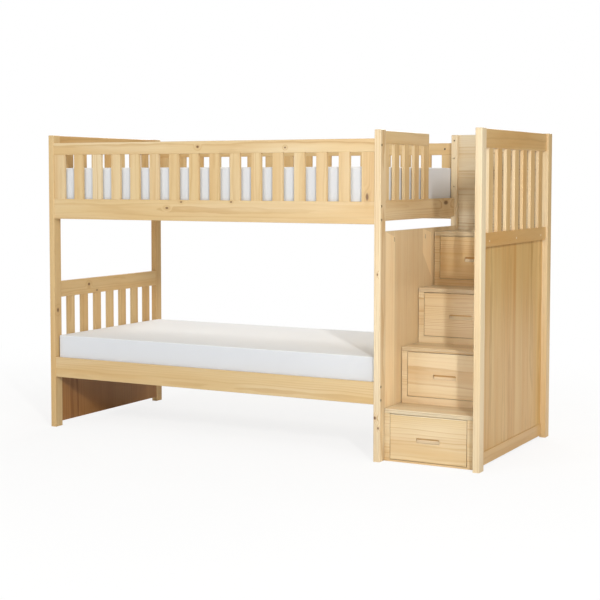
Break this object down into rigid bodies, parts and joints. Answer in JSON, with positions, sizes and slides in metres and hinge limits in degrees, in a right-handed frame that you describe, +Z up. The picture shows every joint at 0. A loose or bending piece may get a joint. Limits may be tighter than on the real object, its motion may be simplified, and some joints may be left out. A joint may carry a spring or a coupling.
{
  "type": "bunk bed",
  "caption": "Wooden bunk bed with a slatted guard round the upper bunk and a storage stair with drawers at its right end",
  "frame": {"origin": "On the floor, at the middle of the bed's whole footprint, the storage stair included", "axes": "+X runs along the bed to the right, towards the storage stair. -Y is the front, the side the drawers face. +Z is up."},
  "size_m": [2.525, 1.062, 1.62],
  "materials": {
    "pine": "clear satin lacquer",
    "drawer_front": "clear satin lacquer",
    "drawer_box": "bare plywood",
    "bolt_steel": "zinc",
    "plug": "bare end grain",
    "mattress_cover": "matt woven"
  },
  "bodies": {
    "bed": {"post_left_front": "pine", "post_left_rear": "pine", "post_mid_front": "pine", "post_mid_rear": "pine", "post_stair_front": "pine", "post_stair_rear": "pine", "front_lower_side_rail": "pine", "rear_lower_side_rail": "pine", "front_upper_side_rail": "pine", "rear_upper_side_rail": "pine", "front_guard_top_rail": "pine", "rear_guard_top_rail": "pine", "front_guard_boards": "pine", "rear_guard_boards": "pine", "upper_bed_slats": "pine", "lower_bed_slats": "pine", "upper_slat_cleats": "pine", "lower_slat_cleats": "pine", "left_end_top_rail": "pine", "left_end_slats": "pine", "left_end_bed_rail": "pine", "headboard_top_rail": "pine", "headboard_slats": "pine", "headboard_low_rail": "pine", "headboard_panel": "pine", "entry_guard_top_rail": "pine", "entry_guard_boards": "pine", "right_end_bed_rail": "pine", "stair_inner_panel": "pine", "outer_end_top_rail": "pine", "outer_end_slats": "pine", "outer_end_mid_rail": "pine", "outer_end_panel": "pine", "outer_end_bottom_rail": "pine", "stair_back_panel": "pine", "step_1_face_frame": "pine", "step_1_tread": "pine", "step_2_face_frame": "pine", "step_2_tread": "pine", "step_3_face_frame": "pine", "step_3_tread": "pine", "step_4_face_frame": "pine", "step_4_tread": "pine", "stair_left_sides": "pine", "stair_right_sides": "pine", "drawer_runners": "pine", "rail_bolts": "bolt_steel", "barrel_nuts": "bolt_steel", "screw_plugs": "plug", "upper_mattress": "mattress_cover", "lower_mattress": "mattress_cover"},
    "drawer_1": {"drawer_1_front": "drawer_front", "drawer_1_box": "drawer_box"},
    "drawer_2": {"drawer_2_front": "drawer_front", "drawer_2_box": "drawer_box"},
    "drawer_3": {"drawer_3_front": "drawer_front", "drawer_3_box": "drawer_box"},
    "drawer_4": {"drawer_4_front": "drawer_front", "drawer_4_box": "drawer_box"}
  },
  "joints": [
    {"name": "drawer_1_slide", "type": "slide", "parent": "bed", "child": "drawer_1", "axis": [0, -1, 0], "range_m": [0, 0.24]},
    {"name": "drawer_2_slide", "type": "slide", "parent": "bed", "child": "drawer_2", "axis": [0, -1, 0], "range_m": [0, 0.24]},
    {"name": "drawer_3_slide", "type": "slide", "parent": "bed", "child": "drawer_3", "axis": [0, -1, 0], "range_m": [0, 0.24]},
    {"name": "drawer_4_slide", "type": "slide", "parent": "bed", "child": "drawer_4", "axis": [0, -1, 0], "range_m": [0, 0.24]}
  ]
}
